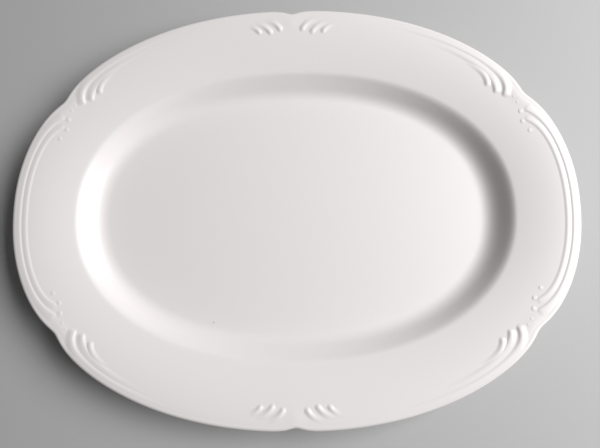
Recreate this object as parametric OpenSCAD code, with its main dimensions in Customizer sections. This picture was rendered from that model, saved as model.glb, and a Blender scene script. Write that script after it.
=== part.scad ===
// Oval serving platter in white glazed porcelain.
// Origin: centre of the foot, on the table. +X along the length, +Y to the back, +Z up.
// All sizes are in millimetres and all angles are in degrees.

/* [Platter] */
// Overall length, end to end
platter_length = 356; // [300:2:420]
// Overall width across the oval, before the centre notches
platter_width = 266; // [230:2:300]
// Overall height, from the table to the top of the lip
platter_height = 26; // [24:0.5:34]
// Thickness of the wall through the well and the cove
wall = 4.5; // [3.5:0.5:6]
// Fullness of every oval: 2 is an ellipse, more is squarer
oval_power = 2.16; // [2:0.02:2.5]

/* [Well and foot] */
// Length of the flat floor of the well
floor_length = 244; // [200:2:250]
// Width of the flat floor of the well
floor_width = 159; // [140:1:164]
// Length of the well at its top, where the rim starts
well_length = 283; // [270:1:290]
// Width of the well at its top, where the rim starts
well_width = 188; // [180:1:195]
// Height of the foot ring
foot_height = 3.5; // [2:0.5:5]
// Width of the foot ring
foot_width = 5; // [3:0.5:8]
// Distance of the foot ring in from the edge of the floor
foot_inset = 2; // [1:0.5:6]

/* [Rim] */
// How far the rim climbs from the well to the lip
rim_rise = 6.2; // [4:0.2:9]
// How much sooner the rim climbs near the well: 1 is a straight cone
rim_crown = 1.7; // [1:0.1:2]
// Width of the lip
lip_width = 3.5; // [2.5:0.25:4]
// Height of the lip above the rim
lip_height = 0.3; // [0.2:0.1:0.8]
// Thickness of the rim where it meets the lip
rim_wall = 3.8; // [3:0.1:4.5]

/* [Lobes] */
// Angle of the four corner notches from the length axis
corner_angle = 26.5; // [22:0.5:30]
// Depth of the corner notches
corner_depth = 3.6; // [0:0.2:5]
// Spread of the corner notches, as an angle
corner_spread = 3.6; // [2:0.2:5]
// Depth of the two centre notches
centre_depth = 2.2; // [0:0.2:3]
// Spread of the centre notches, as an angle
centre_spread = 2.2; // [1:0.2:3]

/* [Relief] */
// Height of the raised threads and strokes
stroke_height = 0.9; // [0.4:0.1:1.5]
// Width of the raised threads and strokes
stroke_width = 3.4; // [2:0.2:4]
// How much wider the outermost threads are than the rest
outer_widening = 1.2; // [1:0.1:1.4]
// Diameter of the largest corner bead
bead_size = 3.2; // [2:0.2:4]
// Height of the largest corner bead
bead_height = 1; // [0.5:0.1:1.5]

/* [Hidden] */

porcelain = [0.93, 0.92, 0.91];
relief_white = [0.97, 0.96, 0.95];
bare_clay = [0.87, 0.84, 0.79];

// Number of steps round the oval
ring_steps = 180;
// Spacing of the sections along a raised stroke, as an angle
stroke_step = 1.2;
// Width and height of a stroke at its very ends, as shares of its full section
tip_width = 0.35;
tip_height = 0.15;
// How quickly a stroke swells from its hooked start
start_swell = 5;
// How far the sections of a stroke crowd towards its hooked start
start_crowd = 1.7;
// Angle looked each way along a stroke to find its direction
look_ahead = 0.05;
// Share of the way across the rim at which the beads lie
bead_share = 0.6;

floor_top = foot_height + wall;
rim_top = platter_height - lip_height;
cove_rise = rim_top - rim_rise - floor_top;
cove_span = (well_length - floor_length) / 2;
rim_span = (platter_length - well_length) / 2 - lip_width;

// Slope of the rim where it leaves the well
rim_slope = rim_crown * rim_rise / rim_span;
// The cove curves up from the floor as far as cove_bend, runs straight as far as cove_turn,
// then turns over to the slope of the rim
cove_bend = 0.65;
cove_turn = 0.8;
cove_straight = (1 + cove_turn - cove_bend) / 2;
cove_slope = (cove_rise / cove_span - rim_slope * (1 - cove_turn) / 2) / cove_straight;

// Raised strokes, each [start angle, end angle, inset, hook, sharpness of the hook, widening].
// A stroke runs at its inset from the plain oval and hooks inward near its start.
end_strokes = [
    [23.4, 0, 5.2, 6.8, 3, outer_widening],
    [21.4, 0, 8.9, 6.5, 2.6, 1]
];
corner_strokes = [
    [27.8, 60, 5, 11, 2.5, outer_widening],
    [29.4, 51, 8.8, 9, 3.2, 1],
    [32, 39, 10.4, 7.4, 2.3, 1]
];
spray_strokes = [
    [87, 80, 6.8, 8, 1.6, 1],
    [83.9, 77, 8.2, 8.2, 1.8, 1],
    [80.5, 76, 9.2, 6.6, 1.5, 1]
];
// Corner beads, each [angle, inset from the plain oval, share of the full size]
corner_beads = [
    [26.8, 10.8, 0.5],
    [25.3, 11.4, 0.6],
    [23.1, 13.2, 1],
    [20.8, 15.9, 1],
    [18.2, 15.6, 0.9]
];

// ---- Ovals and the surface of the rim ----

function oval(length, width, angle) =
    pow(
        pow(abs(cos(angle)) * 2 / length, oval_power) + pow(abs(sin(angle)) * 2 / width, oval_power),
        -1 / oval_power
    );

// A notch falls away from its centre as a rounded cusp
function notch(angle, centre, depth, spread) =
    let (off = abs(angle - centre), soft = spread / 4)
    depth * exp((soft - sqrt(off * off + soft * soft)) / spread);

// Angle folded into the first quarter
function quarter(angle) = abs(atan2(abs(sin(angle)), abs(cos(angle))));

function plain_radius(angle) = oval(platter_length, platter_width, angle);

function outline_radius(angle) =
    plain_radius(angle)
    - notch(quarter(angle), corner_angle, corner_depth, corner_spread)
    - notch(quarter(angle), 90, centre_depth, centre_spread);

function floor_radius(angle) = oval(floor_length, floor_width, angle);

function well_radius(angle) = oval(well_length, well_width, angle);

function rim_radius(angle) = outline_radius(angle) - lip_width;

// Height of the top of the rim, where share runs from 0 at the well to 1 at the lip
function rim_height(share) = rim_top - rim_rise * pow(1 - share, rim_crown);

function rim_grade(share) = rim_slope * pow(1 - share, rim_crown - 1);

// Height of the top of the cove, where share runs from 0 at the floor to 1 at the rim
function cove_height(share) =
    floor_top + cove_span * (
        share < cove_bend ? cove_slope * share * share / (2 * cove_bend)
        : share < cove_turn ? cove_slope * (share - cove_bend / 2)
        : cove_slope * (share - cove_bend / 2)
            - (cove_slope - rim_slope) * pow(share - cove_turn, 2) / (2 * (1 - cove_turn))
    );

function cove_grade(share) =
    share < cove_bend ? cove_slope * share / cove_bend
    : share < cove_turn ? cove_slope
    : cove_slope - (cove_slope - rim_slope) * (share - cove_turn) / (1 - cove_turn);

// Vertical drop through a wall of the given thickness on a slope
function drop(thickness, grade) = thickness * sqrt(1 + grade * grade);

function rim_thickness(share) = wall + (rim_wall - wall) * share;

function mix(a, b, share) = a + (b - a) * share;

function polar(radius, angle, height) = [radius * cos(angle), radius * sin(angle), height];

// Height of the top of the rim at a place seen from above
function on_rim(place) =
    let (
        angle = atan2(place.y, place.x),
        inner = well_radius(angle),
        share = (norm(place) - inner) / (rim_radius(angle) - inner)
    )
    rim_height(min(1, max(0, share)));

// ---- Solids swept through sections ----

function band_faces(count, size, wrap) = [
    for (i = [0 : count - (wrap ? 1 : 2)], j = [0 : size - 1])
        let (
            a = i * size + j,
            b = i * size + (j + 1) % size,
            c = (i + 1) % count * size + (j + 1) % size,
            d = (i + 1) % count * size + j
        )
        each [[a, b, c], [a, c, d]]
];

// A closed ring: one section for each step round the oval
module ring_solid(sections) {
    polyhedron([for (s = sections) each s], band_faces(len(sections), len(sections[0]), true));
}

// An open bar with a flat cap at each end
module bar_solid(sections) {
    count = len(sections);
    size = len(sections[0]);
    first_cap = [for (j = [size - 1 : -1 : 0]) j];
    last_cap = [for (j = [0 : size - 1]) (count - 1) * size + j];
    polyhedron(
        [for (s = sections) each s],
        concat(band_faces(count, size, false), [first_cap, last_cap])
    );
}

function ring_angles() = [for (i = [0 : ring_steps - 1]) 360 * i / ring_steps];

module oval_plate(length, width) {
    polygon([for (a = ring_angles()) oval(length, width, a) * [cos(a), sin(a)]]);
}

// ---- Body of the platter ----

module well_floor() {
    color(porcelain)
        translate([0, 0, foot_height])
            linear_extrude(wall)
                oval_plate(floor_length, floor_width);
}

module foot_ring() {
    outer = 2 * foot_inset;
    inner = outer + 2 * foot_width;
    color(bare_clay)
        linear_extrude(foot_height)
            difference() {
                oval_plate(floor_length - outer, floor_width - outer);
                oval_plate(floor_length - inner, floor_width - inner);
            }
}

module cove_wall() {
    top_shares = [0, 0.15, 0.3, 0.45, 0.6, 0.8, 0.9, 1];
    under_shares = [1, 0.8, 0.6, 0.3, 0];
    color(porcelain)
        ring_solid([
            for (a = ring_angles())
                let (inner = floor_radius(a), outer = well_radius(a))
                concat(
                    [for (s = top_shares) polar(mix(inner, outer, s), a, cove_height(s))],
                    [
                        for (s = under_shares)
                            polar(mix(inner, outer, s), a, cove_height(s) - drop(wall, cove_grade(s)))
                    ]
                )
        ]);
}

module rim_flange() {
    top_shares = [0, 0.2, 0.4, 0.6, 0.8, 1];
    under_shares = [1, 0.5, 0];
    color(porcelain)
        ring_solid([
            for (a = ring_angles())
                let (inner = well_radius(a), outer = rim_radius(a))
                concat(
                    [for (s = top_shares) polar(mix(inner, outer, s), a, rim_height(s))],
                    [
                        for (s = under_shares)
                            let (depth = drop(rim_thickness(s), rim_grade(s)))
                            polar(mix(inner, outer, s), a, rim_height(s) - depth)
                    ]
                )
        ]);
}

// The lip stands a little above the rim and is rounded over its outer edge
module rim_lip() {
    half = (rim_wall + lip_height) / 2;
    round_over = lip_width * 0.6;
    middle = rim_top + lip_height - half;
    color(porcelain)
        ring_solid([
            for (a = ring_angles())
                let (outer = outline_radius(a))
                concat(
                    [polar(outer - lip_width, a, rim_top)],
                    [
                        for (turn = [90 : -30 : -90])
                            polar(outer - round_over * (1 - cos(turn)), a, middle + half * sin(turn))
                    ],
                    [polar(outer - lip_width, a, rim_top - rim_wall)]
                )
        ]);
}

// ---- Relief, laid on the rim ----

function stroke_place(stroke, angle) =
    let (
        bend = stroke[3] * exp(-abs(stroke[0] - angle) / stroke[4]),
        radius = plain_radius(angle) - stroke[2] - bend
    )
    radius * [cos(angle), sin(angle)];

// Section across a stroke, thinned towards both of its ends by swell
function stroke_section(stroke, angle, turn, swell) =
    let (
        here = stroke_place(stroke, angle),
        aim = turn * look_ahead,
        ahead = stroke_place(stroke, angle + aim) - stroke_place(stroke, angle - aim),
        reach = stroke_width / 2 * stroke[5] * mix(tip_width, 1, swell),
        across = [-ahead.y, ahead.x] / norm(ahead) * reach
    )
    [
        for (s = [[-1, 0], [-0.5, 0.75], [0, 1], [0.5, 0.75], [1, 0]])
            let (place = here + across * s[0])
            [place.x, place.y, on_rim(place) + stroke_height * mix(tip_height, 1, swell) * s[1]]
    ];

// A stroke that is full at its hooked start and fades to its far end
module fading_stroke(stroke) {
    length = abs(stroke[1] - stroke[0]);
    count = max(6, round(length / stroke_step));
    turn = sign(stroke[1] - stroke[0]);
    bar_solid([
        for (i = [0 : count])
            let (
                share = i / count,
                near = pow(share, start_crowd),
                swell = min(1, share * start_swell) * (1 - near)
            )
            stroke_section(stroke, stroke[0] + turn * length * near, turn, swell)
    ]);
}

// A thread that crosses the end of the platter, with the same hook at both of its ends
module end_thread(stroke) {
    count = 2 * round(stroke[0] / stroke_step);
    bar_solid([
        for (i = [-count : count])
            let (
                share = i / count,
                angle = stroke[0] * sin(90 * share),
                side = angle < 0 ? -1 : 1,
                swell = min(1, (1 - abs(share)) * start_swell),
                mirrored = [side * stroke[0], 0, stroke[2], stroke[3], stroke[4], stroke[5]]
            )
            stroke_section(mirrored, angle, 1, swell)
    ]);
}

module bead(angle, inset, share) {
    place = (plain_radius(angle) - inset) * [cos(angle), sin(angle)];
    radius = bead_size / 2 * share;
    height = bead_height * share;
    ball = (radius * radius + height * height) / (2 * height);
    translate([place.x, place.y, on_rim(place)])
        rotate([0, -atan(rim_grade(bead_share)), angle])
            intersection() {
                translate([0, 0, height - ball])
                    sphere(ball, $fn = 32);
                cylinder(height, radius * 2, radius * 2, $fn = 32);
            }
}

// Places a piece made for the back right quarter in any quarter
module in_quarter(right, back) {
    mirror([right ? 0 : 1, 0, 0])
        mirror([0, back ? 0 : 1, 0])
            children();
}

module end_threads(right) {
    color(relief_white)
        in_quarter(right, true) {
            end_thread(end_strokes[0]);
            end_thread(end_strokes[1]);
        }
}

module corner_comb(right, back) {
    color(relief_white)
        in_quarter(right, back) {
            fading_stroke(corner_strokes[0]);
            fading_stroke(corner_strokes[1]);
            fading_stroke(corner_strokes[2]);
        }
}

module centre_spray(right, back) {
    color(relief_white)
        in_quarter(right, back) {
            fading_stroke(spray_strokes[0]);
            fading_stroke(spray_strokes[1]);
            fading_stroke(spray_strokes[2]);
        }
}

module bead_row(right, back) {
    color(relief_white)
        in_quarter(right, back)
            for (b = corner_beads)
                bead(b[0], b[1], b[2]);
}

well_floor();
foot_ring();
cove_wall();
rim_flange();
rim_lip();
end_threads(true);  // end_threads_right
end_threads(false);  // end_threads_left
corner_comb(true, true);  // corner_comb_back_right
corner_comb(false, true);  // corner_comb_back_left
corner_comb(false, false);  // corner_comb_front_left
corner_comb(true, false);  // corner_comb_front_right
bead_row(true, true);  // corner_beads_back_right
bead_row(false, true);  // corner_beads_back_left
bead_row(false, false);  // corner_beads_front_left
bead_row(true, false);  // corner_beads_front_right
centre_spray(true, true);  // centre_spray_back_right
centre_spray(false, true);  // centre_spray_back_left
centre_spray(false, false);  // centre_spray_front_left
centre_spray(true, false);  // centre_spray_front_right
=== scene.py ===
"""Oval serving platter in white glazed porcelain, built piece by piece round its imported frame.

Lengths are in metres and angles in degrees. +X runs along the platter, +Y to its back, +Z up.
"""

import math

import bmesh
import bpy
from bpy.props import FloatProperty, FloatVectorProperty, IntProperty, PointerProperty
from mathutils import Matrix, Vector


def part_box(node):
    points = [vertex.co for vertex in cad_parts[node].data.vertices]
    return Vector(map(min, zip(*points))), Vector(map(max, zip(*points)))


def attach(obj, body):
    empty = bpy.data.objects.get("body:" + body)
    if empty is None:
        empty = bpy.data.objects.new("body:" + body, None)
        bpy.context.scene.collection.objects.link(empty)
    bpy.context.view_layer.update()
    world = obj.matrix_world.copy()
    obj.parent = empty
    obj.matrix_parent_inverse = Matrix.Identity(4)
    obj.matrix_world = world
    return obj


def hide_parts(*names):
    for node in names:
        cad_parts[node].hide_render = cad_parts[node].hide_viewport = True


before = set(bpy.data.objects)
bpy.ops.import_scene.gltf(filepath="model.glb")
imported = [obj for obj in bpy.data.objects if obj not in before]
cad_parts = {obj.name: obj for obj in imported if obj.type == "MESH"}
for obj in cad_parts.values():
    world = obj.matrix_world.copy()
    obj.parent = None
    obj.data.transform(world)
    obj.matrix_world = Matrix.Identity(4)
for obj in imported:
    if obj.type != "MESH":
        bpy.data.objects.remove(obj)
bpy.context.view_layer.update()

bl_info = {
    "name": "Porcelain platter",
    "version": (1, 0, 0),
    "blender": (4, 5, 0),
    "location": "View3D > Sidebar > Platter",
    "description": "Builds a lobed oval porcelain platter with moulded relief",
    "category": "Add Mesh",
}

MM = 0.001


# ---------------------------------------------------------------- sizes from the frame


def cad_size(node):
    """Length, width and height of a CAD node."""
    low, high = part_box(node)
    return high - low


LIP_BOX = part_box("rim_lip")
FLOOR_SIZE = cad_size("well_floor")
WELL_SIZE = cad_size("cove_wall")
FOOT_SIZE = cad_size("foot_ring")
FOOT_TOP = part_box("well_floor")[0].z
FLOOR_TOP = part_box("well_floor")[1].z
LIP_TOP = LIP_BOX[1].z
LIP_LENGTH = LIP_BOX[1].x - LIP_BOX[0].x

# Length and width of the floor and of the well. They are eased a little from the CAD, so that
# the cove runs out gently along the sides.
FLOOR_OVAL = (FLOOR_SIZE.x + 1 * MM, FLOOR_SIZE.y - 4 * MM)
WELL_OVAL = (WELL_SIZE.x, WELL_SIZE.y + 1 * MM)

# Place of the one clear speck in the glaze of the floor
FLOOR_SPECK = (-0.053, -0.070, FLOOR_TOP)


# ---------------------------------------------------------------- settings


class PlatterShape(bpy.types.PropertyGroup):
    """Sizes of the fired body."""

    length: FloatProperty(
        name="Length", description="Overall length, end to end", default=LIP_LENGTH, unit="LENGTH"
    )
    width: FloatProperty(
        name="Width", description="Width before the centre notches", default=0.266, unit="LENGTH"
    )
    oval_power: FloatProperty(
        name="Fullness", description="2 is an ellipse, more is squarer", default=2.16, min=2.0
    )
    wall: FloatProperty(
        name="Wall",
        description="Thickness of the wall in the well",
        default=FLOOR_TOP - FOOT_TOP,
        unit="LENGTH",
    )
    rim_wall: FloatProperty(
        name="Rim wall", description="Thickness of the rim at the lip", default=3.8 * MM, unit="LENGTH"
    )
    rim_rise: FloatProperty(
        name="Rim rise", description="Climb of the rim at the ends", default=6.2 * MM, unit="LENGTH"
    )
    side_rise: FloatProperty(
        name="Side rise", description="Climb of the rim along the sides", default=7.8 * MM, unit="LENGTH"
    )
    rim_crown: FloatProperty(
        name="Rim crown", description="1 is a straight cone, more climbs sooner", default=1.45
    )
    lip_width: FloatProperty(
        name="Lip width", description="Width of the lip", default=3.5 * MM, unit="LENGTH"
    )
    lip_rise: FloatProperty(
        name="Lip rise", description="Step from the rim up to the lip", default=0.1 * MM, unit="LENGTH"
    )
    lip_round: FloatProperty(
        name="Lip rounding",
        description="Width of the rounding over the edge",
        default=2.1 * MM,
        unit="LENGTH",
    )
    corner_angle: FloatProperty(
        name="Corner angle", description="Angle of the corner notches in degrees", default=26.5
    )
    corner_depth: FloatProperty(
        name="Corner depth", description="Depth of the corner notches", default=3.6 * MM, unit="LENGTH"
    )
    corner_spread: FloatProperty(
        name="Corner spread", description="Spread of the corner notches in degrees", default=3.6
    )
    centre_depth: FloatProperty(
        name="Centre depth", description="Depth of the centre notches", default=2.2 * MM, unit="LENGTH"
    )
    centre_spread: FloatProperty(
        name="Centre spread", description="Spread of the centre notches in degrees", default=1.7
    )
    foot_width: FloatProperty(
        name="Foot width", description="Width of the foot ring", default=5 * MM, unit="LENGTH"
    )
    steps: IntProperty(
        name="Steps", description="Steps round the oval, a multiple of four", default=720, min=72
    )


class PlatterRelief(bpy.types.PropertyGroup):
    """Sizes of the moulded relief."""

    thread_height: FloatProperty(
        name="Thread height", description="Height of the threads", default=0.28 * MM, unit="LENGTH"
    )
    comb_height: FloatProperty(
        name="Comb height", description="Height of the comb strokes", default=0.75 * MM, unit="LENGTH"
    )
    spray_height: FloatProperty(
        name="Spray height", description="Height of the centre sprays", default=0.6 * MM, unit="LENGTH"
    )
    bead_height: FloatProperty(
        name="Bead height", description="Height of the largest bead", default=0.25 * MM, unit="LENGTH"
    )
    bead_size: FloatProperty(
        name="Bead size", description="Diameter of the largest bead", default=4.6 * MM, unit="LENGTH"
    )


class PlatterFinish(bpy.types.PropertyGroup):
    """Colours and gloss of the porcelain."""

    glaze: FloatVectorProperty(
        name="Glaze",
        description="Colour of the glazed porcelain",
        subtype="COLOR",
        size=3,
        default=(0.89, 0.848, 0.848),
    )
    # Partly the real tint of glaze lying thick, partly painted shade: this darker colour is laid in the
    # creases at the feet of the relief.
    pooled_glaze_and_shade: FloatVectorProperty(
        name="Pooled glaze",
        description="Colour where the glaze lies thick",
        subtype="COLOR",
        size=3,
        default=(0.84, 0.795, 0.79),
    )
    clay: FloatVectorProperty(
        name="Bare clay",
        description="Colour of the unglazed foot",
        subtype="COLOR",
        size=3,
        default=(0.62, 0.56, 0.48),
    )
    gloss: FloatProperty(
        name="Roughness", description="Roughness under the glaze", default=0.4, min=0.0, max=1.0
    )


class PlatterStage(bpy.types.PropertyGroup):
    """Camera, light and table."""

    lens: FloatProperty(name="Lens", description="Focal length in millimetres", default=27.0)
    table: FloatVectorProperty(
        name="Table",
        description="Colour of the table",
        subtype="COLOR",
        size=3,
        default=(0.5, 0.5, 0.5),
    )
    key: FloatProperty(name="Key light", description="Power of the main light", default=24.2, unit="POWER")
    fill: FloatProperty(name="Fill", description="Strength of the light all round", default=0.088)


KEY_SIZE = (1.12, 0.67)
KEY_PLACE = Vector((0.991, 0.157, 0.903))
KEY_TARGET = Vector((0, 0, 0.02))
TABLE_HALF = 6.0
CAMERA_PLACE = (10.1 * MM, -38.7 * MM, 304.0 * MM)
CAMERA_TILT = (6.19, 1.28, -0.69)


def settings():
    """The scene's four groups of settings."""
    scene = bpy.context.scene
    return scene.platter_shape, scene.platter_relief, scene.platter_finish, scene.platter_stage


# ---------------------------------------------------------------- ovals and surfaces

# Half rounding of the notches' points, in degrees
CORNER_SOFT = 1.0
CENTRE_SOFT = 1.5
# Share of the way across the rim at which the notches begin to be felt
NOTCH_START = 0.55
# The cove curves up as far as its bend, runs straight as far as its turn, then turns over to the
# slope of the rim. Ease says how late the curve gathers. At the ends and along the sides:
END_COVE = (0.66, 0.74, 1.7)
SIDE_COVE = (0.45, 0.85, 1.1)


def mix(a, b, share):
    """The value a share of the way from a to b."""
    return a + (b - a) * share


def smooth(share):
    """0 to 1 with a level start and a level end."""
    share = min(1.0, max(0.0, share))
    return share * share * (3 - 2 * share)


def oval(length, width, power, angle):
    """Radius of a full oval at an angle in radians."""
    along = abs(math.cos(angle)) * 2 / length
    across = abs(math.sin(angle)) * 2 / width
    return (along**power + across**power) ** (-1 / power)


def notch(angle, centre, depth, spread, soft):
    """How far a notch draws the outline in. Angles are in degrees, soft rounds its point."""
    off = abs(angle - centre)
    return depth * math.exp((soft - math.hypot(off, soft)) / spread)


class Form:
    """The platter's curves and surfaces, worked out from its settings."""

    def __init__(self, shape):
        self.shape = shape
        self.lip_rise = shape.lip_rise
        self.rim_top = LIP_TOP - self.lip_rise
        self.known = {}

    def plain(self, angle):
        """Radius of the outline before its notches."""
        return oval(self.shape.length, self.shape.width, self.shape.oval_power, angle)

    def notched(self, angle):
        """How far the notches draw the outline in."""
        s = self.shape
        folded = math.degrees(math.atan2(abs(math.sin(angle)), abs(math.cos(angle))))
        corner = notch(folded, s.corner_angle, s.corner_depth, s.corner_spread, CORNER_SOFT)
        centre = notch(folded, 90.0, s.centre_depth, s.centre_spread, CENTRE_SOFT)
        return corner + centre

    def rings(self, angle):
        """Radii of the centre and the four rings, and how far the notches draw the outline in."""
        key = round(angle, 6)
        if key not in self.known:
            power = self.shape.oval_power
            plain = self.plain(angle)
            drawn = self.notched(angle)
            self.known[key] = (
                0.0,
                oval(*FLOOR_OVAL, power, angle),
                oval(*WELL_OVAL, power, angle),
                plain - drawn - self.shape.lip_width,
                plain - drawn,
                drawn,
            )
        return self.known[key]

    def rim_radius(self, share, angle):
        """Radius on the rim. The notches only draw in its outer part."""
        _, _, well, border, _, drawn = self.rings(angle)
        return mix(well, border + drawn, share) - drawn * self.notch_reach(share)

    def notch_reach(self, share):
        """How much of a notch is felt on the rim, from 0 inside to 1 at the lip."""
        return smooth((share - NOTCH_START) / (1 - NOTCH_START)) ** 2

    def rim_share(self, reach, angle):
        """Inverse of rim_radius."""
        _, _, well, border, _, drawn = self.rings(angle)
        share = (reach - well) / (border + drawn - well)
        for _ in range(4):
            share = (reach + drawn * self.notch_reach(share) - well) / (border + drawn - well)
        return min(1.0, max(0.0, share))

    def rim_rise(self, angle):
        """Climb of the rim at an angle."""
        return mix(self.shape.rim_rise, self.shape.side_rise, math.sin(angle) ** 2)

    def cove(self, share, angle):
        """Height over the floor and slope of the cove, from 0 at the floor to 1 at the rim."""
        _, floor, well, border, _, drawn = self.rings(angle)
        cove_span, rise = well - floor, self.rim_rise(angle)
        side = math.sin(angle) ** 2
        bend, turn, ease = (mix(at_end, at_side, side) for at_end, at_side in zip(END_COVE, SIDE_COVE))
        end = self.shape.rim_crown * rise / (border + drawn - well)
        wall = (self.rim_top - rise - FLOOR_TOP) / cove_span - end * (1 - turn) / 2
        wall /= bend / (ease + 1) + turn - bend + (1 - turn) / 2
        if share < bend:
            height = wall * bend * (share / bend) ** (ease + 1) / (ease + 1)
            slope = wall * (share / bend) ** ease
        else:
            past = max(0.0, share - turn)
            height = wall * (bend / (ease + 1) + share - bend)
            height -= (wall - end) * past * past / (2 * (1 - turn))
            slope = mix(wall, end, past / (1 - turn))
        return height * cove_span, slope

    def rim(self, share, angle):
        """Height over the floor and slope of the rim, from 0 at the well to 1 at the lip."""
        _, _, well, border, _, drawn = self.rings(angle)
        crown, rise = self.shape.rim_crown, self.rim_rise(angle)
        left = max(0.0, 1 - share)
        height = self.rim_top - rise * left**crown - FLOOR_TOP
        return height, crown * rise / (border + drawn - well) * left ** (crown - 1)

    def lip(self, inset):
        """Height over the floor of the top of the lip, at an inset from the outline."""
        shape = self.shape
        flat = shape.lip_width - shape.lip_round
        if inset >= shape.lip_round:
            return self.rim_top - FLOOR_TOP + self.lip_rise * smooth((shape.lip_width - inset) / flat)
        half = (shape.rim_wall + self.lip_rise) / 2
        over = min(1.0, 1 - inset / shape.lip_round)
        return LIP_TOP - FLOOR_TOP - half * (1 - math.sqrt(max(0.0, 1 - over * over)))

    def top(self, x, y):
        """Height of the top surface at a place seen from above."""
        angle = math.atan2(y, x)
        reach = math.hypot(x, y)
        _, floor, well, border, edge, _ = self.rings(angle)
        if reach <= floor:
            return FLOOR_TOP
        if reach <= well:
            share = (reach - floor) / (well - floor)
            return FLOOR_TOP + self.cove(share, angle)[0]
        if reach <= border:
            return FLOOR_TOP + self.rim(self.rim_share(reach, angle), angle)[0]
        return FLOOR_TOP + self.lip(max(0.0, edge - reach))


# ---------------------------------------------------------------- skin of the body
#
# The skin is one profile, spun round and then fitted to the ovals. Each point of the profile
# is a station. Its reach says where it lies between the rings, which are counted from the centre.

CENTRE, FLOOR_EDGE, WELL_EDGE, LIP_BORDER, OUTLINE = range(5)
TOP, UNDER = range(2)


def stations():
    """(reach, side, lip turn) of every station, from the top centre to the centre underneath."""
    made = [(reach / 10, TOP, None) for reach in range(1, 10)]
    made += [(1 + i / 30, TOP, None) for i in range(30)]
    made += [(2 + i / 34, TOP, None) for i in range(34)]
    made += [(3 + i / 6 * 0.4, TOP, None) for i in range(6)]
    made += [(4.0, TOP, turn) for turn in range(90, -91, -9)]
    made += [(3.4 - i / 4 * 0.4, UNDER, None) for i in range(1, 5)]
    made += [(3 - i / 20, UNDER, None) for i in range(1, 21)]
    made += [(2 - i / 20, UNDER, None) for i in range(1, 21)]
    made += [(reach / 10, UNDER, None) for reach in range(9, 0, -1)]
    return made


STATIONS = stations()


def first_station(reach, side):
    """Index of the station on a ring."""
    return next(i for i, s in enumerate(STATIONS) if abs(s[0] - reach) < 1e-6 and s[1] == side)


def skin_point(form, station, angle):
    """Place of a station of the skin at an angle round the oval."""
    reach, side, turn = station
    shape = form.shape
    rings = form.rings(angle)
    if turn is not None:
        half = (shape.rim_wall + form.lip_rise) / 2
        radius = rings[4] - shape.lip_round * (1 - math.cos(math.radians(turn)))
        height = LIP_TOP - half * (1 - math.sin(math.radians(turn)))
        return Vector((radius * math.cos(angle), radius * math.sin(angle), height))
    zone = min(3, int(reach + 1e-9))
    share = reach - zone
    radius = mix(rings[zone], rings[zone + 1], share)
    slope = 0.0
    if zone == 0:
        height = 0.0
    elif zone == 1:
        height, slope = form.cove(share, angle)
    elif zone == 2:
        radius = form.rim_radius(share, angle)
        height, slope = form.rim(share, angle)
    else:
        height = form.lip(rings[4] - radius) if side == TOP else form.rim_top - FLOOR_TOP
    if side == UNDER:
        thick = mix(shape.wall, shape.rim_wall, smooth(reach - 2) if zone == 2 else float(zone == 3))
        height -= thick * math.sqrt(1 + slope * slope)
    return Vector((radius * math.cos(angle), radius * math.sin(angle), FLOOR_TOP + height))


def spin_round(bm, profile, steps):
    """Joins a row of vertices and spins it once round the Z axis."""
    edges = [bm.edges.new(pair) for pair in zip(profile, profile[1:])]
    return bmesh.ops.spin(
        bm,
        geom=profile + edges,
        cent=(0, 0, 0),
        axis=(0, 0, 1),
        angle=math.tau,
        steps=steps,
        use_merge=True,
    )


def whole_skin(form):
    """The closed skin of the fired body, with each vertex's station and its smooth normal."""
    bm = bmesh.new()
    order = bm.verts.layers.int.new("station")
    profile = []
    for index in range(len(STATIONS)):
        vert = bm.verts.new((1.0 + index, 0.0, 0.0))
        vert[order] = index
        profile.append(vert)
    spin_round(bm, profile, form.shape.steps)
    for vert in bm.verts:
        angle = math.atan2(vert.co.y, vert.co.x)
        vert.co = skin_point(form, STATIONS[vert[order]], angle)
    last = len(STATIONS) - 1
    for index in (0, last):
        rim = [e for e in bm.edges if e.verts[0][order] == index and e.verts[1][order] == index]
        bmesh.ops.contextual_create(bm, geom=rim)
    bmesh.ops.recalc_face_normals(bm, faces=bm.faces)
    bm.normal_update()
    shade = bm.verts.layers.float_vector.new("shade")
    for vert in bm.verts:
        vert[shade] = vert.normal
    return bm


def skin_piece(whole, inner, outer):
    """The part of the body between two rings, closed with flat walls where it was cut."""
    bm = whole.copy()
    order = bm.verts.layers.int["station"]
    centre = (0, len(STATIONS) - 1)
    inside = centre if inner == CENTRE else (first_station(inner, TOP), first_station(inner, UNDER))
    kept = [inside]
    cuts = [] if inner == CENTRE else [inside]
    if outer < OUTLINE:
        outside = (first_station(outer, TOP), first_station(outer, UNDER))
        kept = [(inside[0], outside[0]), (outside[1], inside[1])]
        cuts.append(outside)

    def is_kept(face):
        low = min(v[order] for v in face.verts)
        high = max(v[order] for v in face.verts)
        return any(a <= low and high <= b for a, b in kept)

    gone = [face for face in bm.faces if not is_kept(face)]
    bmesh.ops.delete(bm, geom=gone, context="FACES")
    skin = bm.faces.layers.int.new("skin")
    for face in bm.faces:
        face[skin] = 1
    for cut in cuts:
        border = [e for e in bm.edges if e.is_boundary and e.verts[0][order] in cut]
        bmesh.ops.bridge_loops(bm, edges=border)
    bmesh.ops.recalc_face_normals(bm, faces=bm.faces)
    return bm


def foot_section(half):
    """Section of the foot ring as (offset from its middle, height), flared above and round below."""
    flare, drop, edge, overlap = 2.0 * MM, 1.0 * MM, 1.0 * MM, 0.2 * MM
    turns = [math.pi / 2 * i / 8 for i in range(9)]
    outer = [(half + flare, FOOT_TOP + overlap)]
    outer += [(half + flare * (1 - math.sin(t)), FOOT_TOP - drop * (1 - math.cos(t))) for t in turns]
    outer += [(half - edge * (1 - math.cos(t)), edge * (1 - math.sin(t))) for t in turns]
    return outer + [(-x, z) for x, z in reversed(outer)]


# ---------------------------------------------------------------- finished objects


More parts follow.
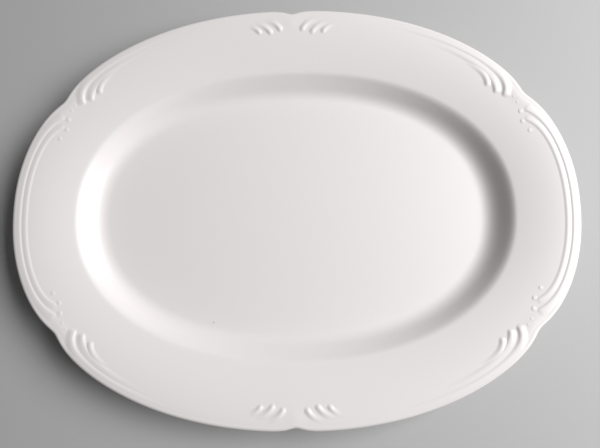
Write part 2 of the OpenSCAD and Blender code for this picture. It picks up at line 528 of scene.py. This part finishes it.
def finish_mesh(bm, name, materials, nodes):
    """Turns a bmesh into a finished piece that stands for CAD nodes and rides on the body."""
    shade = bm.verts.layers.float_vector["shade"]
    skin = bm.faces.layers.int["skin"]
    bm.normal_update()
    normals = []
    for face in bm.faces:
        face.smooth = True
        for loop in face.loops:
            normals.append(Vector(loop.vert[shade]) if face[skin] else face.normal.copy())
    mesh = bpy.data.meshes.new(name)
    bm.to_mesh(mesh)
    bm.free()
    mesh.normals_split_custom_set(normals)
    piece = bpy.data.objects.new(name, mesh)
    bpy.context.scene.collection.objects.link(piece)
    for material in materials:
        mesh.materials.append(material)
    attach(piece, "root")
    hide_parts(*nodes)
    return piece


# ---------------------------------------------------------------- relief

# A stroke narrows to a rounded point over its tip
TIP = 2.8 * MM
TIP_WIDTH = 0.1
# Distance between the rows of a stroke, and its columns across
PACE = 0.7 * MM
COLUMNS = 14
# The edge of a piece of relief is set just under the rim, and its back well into the rim
EDGE_DEPTH = 0.004 * MM
BACK_DEPTH = 0.5 * MM
# Place of a bead's crest between its centre and its inner edge, and its rings and steps
BEAD_CREST = 0.6
BEAD_RINGS = 8
BEAD_STEPS = 32


def even(share):
    """A stroke that is equally high all along."""
    return 1.0


def fading(low, drop, fade):
    """A stroke that drops to a low share of its height, then fades out from a share of its length."""

    def swell(share):
        tail = low + (1 - low) * (1 - smooth(share / drop))
        return tail * (1 - smooth((share - fade) / (1 - fade)))

    return swell


def tapering(share):
    """A stroke that sinks away towards its end."""
    return 1 - smooth((share - 0.2) / 0.7)


class Stroke:
    """A raised stroke that runs at an inset from the plain oval and hooks inward at its start.

    start and end are angles in degrees, lengths are in millimetres. The inner and the outer
    flank have their own widths. swell says how high the stroke is along its length.
    """

    def __init__(self, start, end, inset, hook, sharpness, flanks, swell, both_ends=False, depth=1.0):
        self.start = start
        self.end = end
        self.inset = inset
        self.hook = hook
        self.sharpness = sharpness
        self.flanks = flanks
        self.swell = swell
        self.both_ends = both_ends
        self.depth = depth

    def place(self, form, degrees):
        """Point on the crest, seen from above, in metres."""
        side = -1 if self.both_ends and degrees < 0 else 1
        bend = self.hook * math.exp(-abs(side * self.start - degrees) / self.sharpness)
        angle = math.radians(degrees)
        radius = form.plain(angle) - (self.inset + bend) * MM
        return Vector((radius * math.cos(angle), radius * math.sin(angle)))


def walk(form, stroke, pace):
    """Angles along a stroke at an even pace in metres, each with its distance from the start."""
    fine = 400
    end = -stroke.start if stroke.both_ends else stroke.end
    angles = [mix(stroke.start, end, i / fine) for i in range(fine + 1)]
    points = [stroke.place(form, a) for a in angles]
    gone = [0.0]
    for before, after in zip(points, points[1:]):
        gone.append(gone[-1] + (after - before).length)
    count = max(8, round(gone[-1] / pace))
    made = []
    index = 0
    for step in range(count + 1):
        target = gone[-1] * step / count
        while index < fine - 1 and gone[index + 1] < target:
            index += 1
        part = (target - gone[index]) / (gone[index + 1] - gone[index])
        made.append((mix(angles[index], angles[index + 1], part), target))
    return made, gone[-1]


def ridge(across):
    """Height of a ridge's section, from -1 at its inner foot to 1 at its outer foot."""
    return (0.5 + 0.5 * math.cos(math.pi * min(1.0, abs(across)))) ** 1.1


def stroke_point(form, stroke, degrees, distance, length, height, across):
    """Point of a stroke's top surface, across its crest."""
    ahead = stroke.place(form, degrees - 0.05) - stroke.place(form, degrees + 0.05)
    ahead.normalize()
    outward = Vector((ahead.y, -ahead.x))
    here = stroke.place(form, degrees)
    if outward.dot(here) < 0:
        outward = -outward
    to_end = min(distance, length - distance) if stroke.both_ends else distance
    near = min(1.0, to_end / TIP)
    roundness = math.sqrt(max(0.0, 1 - (1 - near) ** 2))
    widen = mix(TIP_WIDTH, 1.0, roundness)
    share = 1 - 2 * min(distance, length - distance) / length if stroke.both_ends else distance / length
    flank = stroke.flanks[1] if across > 0 else stroke.flanks[0]
    spot = here + outward * across * flank * MM * widen
    rise = height * stroke.depth * stroke.swell(share) * smooth(near) * ridge(across)
    return Vector((spot.x, spot.y, form.top(spot.x, spot.y) + rise))


def lay_stroke(bm, form, stroke, height):
    """Adds one stroke: a strip laid on the rim, given a flat back sunk into the rim."""
    path, length = walk(form, stroke, PACE)
    rows = len(path)
    shade = bm.verts.layers.float_vector["shade"]
    pooled_glaze_and_shade = bm.verts.layers.float["pooled_glaze_and_shade"]
    made = bmesh.ops.create_grid(bm, x_segments=rows - 1, y_segments=COLUMNS, size=1.0)
    verts = made["verts"]

    def at(degrees, distance, across):
        return stroke_point(form, stroke, degrees, distance, length, height, across)

    nudge = 0.02
    for vert in verts:
        row = round((vert.co.x + 1) / 2 * (rows - 1))
        across = vert.co.y
        degrees, distance = path[row]
        before = path[max(0, row - 1)]
        after = path[min(rows - 1, row + 1)]
        along = at(*after, across) - at(*before, across)
        sideways = at(degrees, distance, across + nudge) - at(degrees, distance, across - nudge)
        normal = along.cross(sideways)
        if normal.z < 0:
            normal = -normal
        vert[shade] = normal.normalized() if normal.length > 0 else Vector((0, 0, 1))
        place = at(degrees, distance, across)
        vert.co = place - Vector((0, 0, EDGE_DEPTH))
        # Painted shade with thick glaze: the mark grows towards the stroke's feet and darkens the crease
        # where it meets the rim.
        vert[pooled_glaze_and_shade] = 1 - ridge(across)
    give_back(bm, form, verts)


def lay_bead(bm, form, relief, degrees, inset, share):
    """Adds one low round bead that blends into the rim."""
    shade = bm.verts.layers.float_vector["shade"]
    pooled_glaze_and_shade = bm.verts.layers.float["pooled_glaze_and_shade"]
    angle = math.radians(degrees)
    radius = form.plain(angle) - inset * MM
    centre = Vector((radius * math.cos(angle), radius * math.sin(angle)))
    reach = relief.bead_size / 2 * share
    rise = relief.bead_height * share
    profile = [bm.verts.new((reach * i / BEAD_RINGS, 0, 0)) for i in range(BEAD_RINGS + 1)]
    made = spin_round(bm, profile, BEAD_STEPS)
    ends = {v for v in made["geom_last"] if isinstance(v, bmesh.types.BMVert)}
    grown = connected(set(profile) | ends)
    bmesh.ops.remove_doubles(bm, verts=list(grown), dist=1e-7)
    grown = [v for v in grown if v.is_valid]

    outward = centre.normalized()
    sideways = Vector((-outward.y, outward.x))

    def away(x, y):
        """Share of the way from the crest to the bead's edge. The inner side is the steeper."""
        spot = Vector((x, y))
        out = spot.dot(outward) / reach
        crest = -BEAD_CREST * (1 - min(1.0, abs(spot.dot(sideways)) / reach) ** 2)
        out = (out - crest) / (1 - crest if out > crest else 1 + crest)
        return min(1.0, math.hypot(out, spot.dot(sideways) / reach))

    def dome(x, y):
        """Height of the bead's top surface at a place from its centre."""
        spot = centre + Vector((x, y))
        return form.top(spot.x, spot.y) + rise * ridge(away(x, y))

    for vert in grown:
        x, y = vert.co.x, vert.co.y
        step = reach * 0.02
        slope_x = (dome(x + step, y) - dome(x - step, y)) / (2 * step)
        slope_y = (dome(x, y + step) - dome(x, y - step)) / (2 * step)
        vert[shade] = Vector((-slope_x, -slope_y, 1)).normalized()
        # Painted shade with thick glaze: the mark grows towards the bead's foot and darkens the crease
        # where it meets the rim.
        vert[pooled_glaze_and_shade] = 1 - ridge(away(x, y))
        vert.co = (centre.x + x, centre.y + y, dome(x, y) - EDGE_DEPTH)
    give_back(bm, form, grown)


def connected(start):
    """Every vertex that edges join to those given."""
    found = set(start)
    edge = list(start)
    while edge:
        vert = edge.pop()
        for link in vert.link_edges:
            other = link.other_vert(vert)
            if other not in found:
                found.add(other)
                edge.append(other)
    return found


def give_back(bm, form, verts):
    """Closes a top surface of relief with a back that lies in the rim."""
    skin = bm.faces.layers.int["skin"]
    tops = list({f for v in verts for f in v.link_faces})
    for face in tops:
        face[skin] = 1
    for item in bmesh.ops.extrude_face_region(bm, geom=tops, use_keep_orig=True)["geom"]:
        if isinstance(item, bmesh.types.BMFace):
            item[skin] = 0
        elif isinstance(item, bmesh.types.BMVert):
            item.co.z = form.top(item.co.x, item.co.y) - BACK_DEPTH
    face_up(bm, tops)


def face_up(bm, tops):
    """Turns a closed solid's faces outward, given those on its top."""
    corners = connected({v for top in tops for v in top.verts})
    solid = list({f for v in corners for f in v.link_faces})
    bmesh.ops.recalc_face_normals(bm, faces=solid)
    if sum(top.normal.z * top.calc_area() for top in tops) < 0:
        bmesh.ops.reverse_faces(bm, faces=solid)


def new_relief():
    """An empty bmesh with the layers that relief uses."""
    bm = bmesh.new()
    bm.verts.layers.float_vector.new("shade")
    # Mark of thick glaze and painted shade at the feet of the relief
    bm.verts.layers.float.new("pooled_glaze_and_shade")
    bm.faces.layers.int.new("skin")
    return bm


def to_quarter(bm, right, back):
    """Mirrors a piece made for the back right quarter into another quarter."""
    flip = Vector((1 if right else -1, 1 if back else -1, 1))
    shade = bm.verts.layers.float_vector["shade"]
    for vert in bm.verts:
        vert.co *= flip
        vert[shade] = Vector(vert[shade]) * flip
    if right != back:
        bmesh.ops.reverse_faces(bm, faces=bm.faces)


def mould(bm, name, right, back):
    """Turns relief made for the back right quarter into the finished piece of any quarter."""
    _, _, finish, _ = settings()
    to_quarter(bm, right, back)
    finish_mesh(bm, "moulded_" + name, [glazed_porcelain(finish)], [name])


QUARTERS = {
    "back_right": (True, True),
    "back_left": (False, True),
    "front_left": (False, False),
    "front_right": (True, False),
}


# ---------------------------------------------------------------- materials


def new_material(name):
    """A node material, and the helper that adds nodes to it."""
    material = bpy.data.materials.new(name)
    material.use_nodes = True
    tree = material.node_tree

    def add(kind, links=(), **values):
        node = tree.nodes.new(kind)
        for key, value in values.items():
            setattr(node, key, value)
        for source, socket in links:
            tree.links.new(source, node.inputs[socket])
        return node

    return material, add


def set_sockets(node, values):
    """Sets a node's sockets by name or number."""
    for socket, value in values.items():
        node.inputs[socket].default_value = value


def shade_with(material, colour, rough, normal):
    """Links a colour, a roughness and a normal to a material's shader."""
    tree = material.node_tree
    shader = tree.nodes["Principled BSDF"]
    for source, socket in ((colour, "Base Color"), (rough, "Roughness"), (normal, "Normal")):
        tree.links.new(source, shader.inputs[socket])


def noise(add, place, scale, detail):
    """Smooth random values over the piece."""
    node = add("ShaderNodeTexNoise", [(place, "Vector")])
    set_sockets(node, {"Scale": scale, "Detail": detail})
    return node.outputs["Fac"]


def ramp(add, source, low, high, start=0.0, end=1.0):
    """Runs from start to end while its source goes from low to high."""
    node = add("ShaderNodeMapRange", [(source, "Value")])
    set_sockets(node, {"From Min": low, "From Max": high, "To Min": start, "To Max": end})
    return node.outputs["Result"]


def combine(add, operation, first, second):
    """A step of arithmetic on two sources."""
    return add("ShaderNodeMath", [(first, 0), (second, 1)], operation=operation).outputs[0]


def change(add, operation, source, amount):
    """A step of arithmetic on a source and a number."""
    node = add("ShaderNodeMath", [(source, 0)], operation=operation)
    node.inputs[1].default_value = amount
    return node.outputs[0]


def bump(add, links, strength, distance):
    """Tilts the surface as if it had a small height."""
    node = add("ShaderNodeBump", links)
    set_sockets(node, {"Strength": strength, "Distance": distance})
    return node.outputs["Normal"]


def specks(add, place):
    """Where the glaze is specked: a few rare dots, and one on the floor of the well."""
    cells = add("ShaderNodeTexVoronoi", [(place, "Vector")])
    cells.inputs["Scale"].default_value = 45.0
    near = ramp(add, cells.outputs["Distance"], 0.012, 0.02, 1.0, 0.0)
    split = add("ShaderNodeSeparateColor", [(cells.outputs["Color"], "Color")])
    rare = change(add, "GREATER_THAN", split.outputs["Red"], 0.99)
    scattered = combine(add, "MULTIPLY", near, rare)
    away = add("ShaderNodeVectorMath", [(place, 0)], operation="DISTANCE")
    away.inputs[1].default_value = FLOOR_SPECK
    single = ramp(add, away.outputs["Value"], 0.3 * MM, 0.7 * MM, 1.0, 0.0)
    return change(add, "MULTIPLY", combine(add, "MAXIMUM", scattered, single), 0.55)


def glaze_nodes(add, finish):
    """The look of a glaze: even colour, faint clouds, rare specks and a slow ripple."""
    place = add("ShaderNodeTexCoord").outputs["Object"]
    clouds = noise(add, place, 14.0, 3.0)
    # The relief's mark mixes towards the darker pooled colour: partly thick glaze, partly painted shade in
    # the creases at the feet of the relief.
    depth = add("ShaderNodeAttribute", attribute_name="pooled_glaze_and_shade")
    tone = ramp(add, clouds, 0.3, 0.7, 0.0, 0.12)
    total = combine(add, "ADD", tone, change(add, "MULTIPLY", depth.outputs["Fac"], 0.5))
    colour = add("ShaderNodeMix", [(total, "Factor")], data_type="RGBA")
    set_sockets(colour, {"A": (*finish.glaze, 1), "B": (*finish.pooled_glaze_and_shade, 1)})
    spotted = add(
        "ShaderNodeMix",
        [(specks(add, place), "Factor"), (colour.outputs["Result"], "A")],
        data_type="RGBA",
    )
    spotted.inputs["B"].default_value = (0.30, 0.24, 0.19, 1)
    gloss = ramp(add, clouds, 0.0, 1.0, finish.gloss - 0.05, finish.gloss + 0.05)
    ripple = bump(add, [(noise(add, place, 60.0, 2.0), "Height")], 0.25, 0.12 * MM)
    peel = noise(add, place, 420.0, 2.0)
    skin = bump(add, [(peel, "Height"), (ripple, "Normal")], 0.2, 0.01 * MM)
    return spotted.outputs["Result"], gloss, skin


def glazed_porcelain(finish):
    """White porcelain under a clear glaze."""
    name = "platter_glaze"
    if name in bpy.data.materials:
        return bpy.data.materials[name]
    material, add = new_material(name)
    shade_with(material, *glaze_nodes(add, finish))
    shader = material.node_tree.nodes["Principled BSDF"]
    set_sockets(shader, {"IOR": 1.5, "Coat Weight": 0.2, "Coat Roughness": 0.2, "Coat IOR": 1.5})
    return material


def foot_porcelain(finish):
    """Glazed above, wiped bare and matt where the foot meets the table."""
    material, add = new_material("platter_foot")
    colour, gloss, normal = glaze_nodes(add, finish)
    place = add("ShaderNodeTexCoord").outputs["Object"]
    split = add("ShaderNodeSeparateXYZ", [(place, "Vector")])
    wander = change(add, "MULTIPLY", noise(add, place, 90.0, 2.0), 0.5 * MM)
    glazed = ramp(add, combine(add, "ADD", split.outputs["Z"], wander), 0.85 * MM, 1.05 * MM)
    grain = noise(add, place, 1500.0, 4.0)
    dusty = add("ShaderNodeMix", [(grain, "Factor")], data_type="RGBA")
    darker, lighter = ([min(1.0, c * by) for c in finish.clay] for by in (0.92, 1.08))
    set_sockets(dusty, {"A": (*darker, 1), "B": (*lighter, 1)})
    blend = add(
        "ShaderNodeMix",
        [(glazed, "Factor"), (dusty.outputs["Result"], "A"), (colour, "B")],
        data_type="RGBA",
    )
    rough = add("ShaderNodeMix", [(glazed, "Factor"), (gloss, "B")], data_type="FLOAT")
    rough.inputs["A"].default_value = 0.85
    dust = bump(add, [(grain, "Height"), (normal, "Normal")], 0.3, 0.04 * MM)
    shade_with(material, blend.outputs["Result"], rough.outputs["Result"], dust)
    return material


def table_material(stage):
    """Plain pale matt table."""
    material, _ = new_material("pale_table")
    shader = material.node_tree.nodes["Principled BSDF"]
    set_sockets(shader, {"Base Color": (*stage.table, 1), "Roughness": 0.6, "Specular IOR Level": 0.3})
    return material


# ---------------------------------------------------------------- operators


class PLATTER_OT_body(bpy.types.Operator):
    """Build the fired body: well floor, cove wall, rim flange and rim lip"""

    bl_idname = "platter.body"
    bl_label = "Body"

    def execute(self, context):
        shape, _, finish, _ = settings()
        whole = whole_skin(Form(shape))
        glaze = glazed_porcelain(finish)
        for name, inner, outer in (
            ("well_floor", CENTRE, FLOOR_EDGE),
            ("cove_wall", FLOOR_EDGE, WELL_EDGE),
            ("rim_flange", WELL_EDGE, LIP_BORDER),
            ("rim_lip", LIP_BORDER, OUTLINE),
        ):
            piece = skin_piece(whole, inner, outer)
            finish_mesh(piece, "glazed_" + name, [glaze], [name])
        whole.free()
        return {"FINISHED"}


class PLATTER_OT_foot(bpy.types.Operator):
    """Build the foot ring, with a bare rounded edge to stand on"""

    bl_idname = "platter.foot"
    bl_label = "Foot ring"

    def execute(self, context):
        shape, _, finish, _ = settings()
        bm = bmesh.new()
        shade = bm.verts.layers.float_vector.new("shade")
        skin = bm.faces.layers.int.new("skin")
        place = bm.verts.layers.float_vector.new("profile")
        half = shape.foot_width / 2
        profile = []
        for index, (x, z) in enumerate(foot_section(half)):
            vert = bm.verts.new((1 + index, 0, 0))
            vert[place] = Vector((x, z, 0))
            profile.append(vert)
        spin_round(bm, profile, shape.steps)
        for vert in bm.verts:
            angle = math.atan2(vert.co.y, vert.co.x)
            x, z, _ = vert[place]
            outer = oval(FOOT_SIZE.x, FOOT_SIZE.y, shape.oval_power, angle)
            radius = outer - half + x
            vert.co = (radius * math.cos(angle), radius * math.sin(angle), z)
        border = [e for e in bm.edges if e.is_boundary]
        bmesh.ops.recalc_face_normals(bm, faces=bm.faces)
        for face in bm.faces:
            face[skin] = 1
        bm.normal_update()
        made = bmesh.ops.bridge_loops(bm, edges=border)
        for face in made["faces"]:
            face[skin] = 0
        bmesh.ops.recalc_face_normals(bm, faces=bm.faces)
        bm.normal_update()
        for vert in bm.verts:
            vert[shade] = vert.normal
        finish_mesh(bm, "wiped_foot_ring", [foot_porcelain(finish)], ["foot_ring"])
        return {"FINISHED"}


class PLATTER_OT_end_threads(bpy.types.Operator):
    """Build the two threads that cross each end lobe"""

    bl_idname = "platter.end_threads"
    bl_label = "End threads"

    def execute(self, context):
        shape, relief, _, _ = settings()
        form = Form(shape)
        strokes = (
            Stroke(23.4, 0, 5.2, 6.8, 3.0, (1.5, 4.8), even, both_ends=True),
            Stroke(21.4, 0, 8.9, 6.5, 2.6, (1.7, 3.5), even, both_ends=True),
        )
        for side, right in (("right", True), ("left", False)):
            bm = new_relief()
            for stroke in strokes:
                lay_stroke(bm, form, stroke, relief.thread_height)
            mould(bm, "end_threads_" + side, right, True)
        return {"FINISHED"}


class PLATTER_OT_corner_combs(bpy.types.Operator):
    """Build the comb of three hooked strokes beside each corner notch"""

    bl_idname = "platter.corner_combs"
    bl_label = "Corner combs"

    def execute(self, context):
        shape, relief, _, _ = settings()
        form = Form(shape)
        strokes = (
            Stroke(27.8, 63, 5.0, 11.0, 2.5, (2.2, 4.8), fading(0.38, 0.22, 0.4), depth=0.92),
            Stroke(29.4, 52, 8.8, 9.0, 3.2, (2.2, 4.3), fading(0.38, 0.25, 0.4), depth=0.9),
            Stroke(32.0, 41, 10.4, 7.4, 2.3, (2.4, 3.6), fading(0.5, 0.6, 0.4), depth=0.85),
        )
        for quarter, (right, back) in QUARTERS.items():
            bm = new_relief()
            for stroke in strokes:
                lay_stroke(bm, form, stroke, relief.comb_height)
            mould(bm, "corner_comb_" + quarter, right, back)
        return {"FINISHED"}


class PLATTER_OT_centre_sprays(bpy.types.Operator):
    """Build the sprays of three strokes on both sides of the centre notches"""

    bl_idname = "platter.centre_sprays"
    bl_label = "Centre sprays"

    def execute(self, context):
        shape, relief, _, _ = settings()
        form = Form(shape)
        strokes = (
            Stroke(87.0, 81.5, 6.8, 8.0, 1.6, (2.4, 2.8), tapering),
            Stroke(83.9, 78.0, 8.2, 8.2, 1.8, (2.4, 2.8), tapering),
            Stroke(80.5, 76.5, 9.2, 6.6, 1.5, (2.2, 2.6), tapering),
        )
        for quarter, (right, back) in QUARTERS.items():
            bm = new_relief()
            for stroke in strokes:
                lay_stroke(bm, form, stroke, relief.spray_height)
            mould(bm, "centre_spray_" + quarter, right, back)
        return {"FINISHED"}


class PLATTER_OT_corner_beads(bpy.types.Operator):
    """Build the short row of beads at each corner notch"""

    bl_idname = "platter.corner_beads"
    bl_label = "Corner beads"

    def execute(self, context):
        shape, relief, _, _ = settings()
        form = Form(shape)
        # Angle in degrees, inset in millimetres and share of the full size
        beads = (
            (26.8, 10.8, 0.5),
            (25.3, 11.4, 0.55),
            (23.1, 13.2, 1.0),
            (20.8, 15.9, 1.0),
            (18.2, 15.6, 0.85),
        )
        for quarter, (right, back) in QUARTERS.items():
            bm = new_relief()
            for degrees, inset, share in beads:
                lay_bead(bm, form, relief, degrees, inset, share)
            mould(bm, "corner_beads_" + quarter, right, back)
        return {"FINISHED"}


def aim_from(lamp, place, target):
    """Puts a lamp at a place and points it at a target."""
    lamp.location = place
    lamp.rotation_euler = (target - place).to_track_quat("-Z", "Y").to_euler()


class PLATTER_OT_stage(bpy.types.Operator):
    """Set up the table, the soft studio light and the camera"""

    bl_idname = "platter.stage"
    bl_label = "Stage"

    def execute(self, context):
        _, _, _, stage = settings()
        scene = bpy.context.scene
        mesh = bpy.data.meshes.new("table")
        bm = bmesh.new()
        bmesh.ops.create_grid(bm, x_segments=1, y_segments=1, size=TABLE_HALF)
        bm.to_mesh(mesh)
        bm.free()
        table = bpy.data.objects.new("table", mesh)
        mesh.materials.append(table_material(stage))
        scene.collection.objects.link(table)

        lamp = bpy.data.lights.new("key", "AREA")
        lamp.shape = "RECTANGLE"
        lamp.size, lamp.size_y = KEY_SIZE
        lamp.energy = stage.key
        lamp.color = (1.0, 1.0, 1.0)
        key = bpy.data.objects.new("key", lamp)
        aim_from(key, KEY_PLACE, KEY_TARGET)
        scene.collection.objects.link(key)

        world = bpy.data.worlds.new("studio")
        world.use_nodes = True
        background = world.node_tree.nodes["Background"]
        background.inputs["Color"].default_value = (1.0, 1.0, 1.0, 1)
        background.inputs["Strength"].default_value = stage.fill
        scene.world = world

        camera_data = bpy.data.cameras.new("camera")
        camera_data.lens = stage.lens
        camera_data.clip_start = 0.01
        camera = bpy.data.objects.new("camera", camera_data)
        camera.location = CAMERA_PLACE
        camera.rotation_euler = [math.radians(a) for a in CAMERA_TILT]
        scene.collection.objects.link(camera)
        scene.camera = camera
        scene.view_settings.view_transform = "Standard"
        return {"FINISHED"}


# ---------------------------------------------------------------- panel and registration


class PLATTER_PT_panel(bpy.types.Panel):
    """Lists the platter's sizes and the pieces that can be built"""

    bl_idname = "PLATTER_PT_panel"
    bl_label = "Porcelain platter"
    bl_space_type = "VIEW_3D"
    bl_region_type = "UI"
    bl_category = "Platter"

    def draw(self, context):
        column = self.layout.column()
        for group in GROUPS:
            for name in GROUPS[group].__annotations__:
                column.prop(getattr(context.scene, group), name)
        for operator in OPERATORS:
            column.operator(operator.bl_idname)


GROUPS = {
    "platter_shape": PlatterShape,
    "platter_relief": PlatterRelief,
    "platter_finish": PlatterFinish,
    "platter_stage": PlatterStage,
}
OPERATORS = (
    PLATTER_OT_body,
    PLATTER_OT_foot,
    PLATTER_OT_end_threads,
    PLATTER_OT_corner_combs,
    PLATTER_OT_corner_beads,
    PLATTER_OT_centre_sprays,
    PLATTER_OT_stage,
)
CLASSES = (*GROUPS.values(), *OPERATORS, PLATTER_PT_panel)


def register():
    """Registers the add-on's classes and settings."""
    for item in CLASSES:
        bpy.utils.register_class(item)
    for name, group in GROUPS.items():
        setattr(bpy.types.Scene, name, PointerProperty(type=group))


def unregister():
    """Takes the add-on's classes and settings away again."""
    for name in GROUPS:
        delattr(bpy.types.Scene, name)
    for item in reversed(CLASSES):
        bpy.utils.unregister_class(item)


def main():
    """Builds the platter and its stage."""
    register()
    bpy.ops.platter.body()
    bpy.ops.platter.foot()
    bpy.ops.platter.end_threads()
    bpy.ops.platter.corner_combs()
    bpy.ops.platter.corner_beads()
    bpy.ops.platter.centre_sprays()
    bpy.ops.platter.stage()


if __name__ == "__main__":
    main()
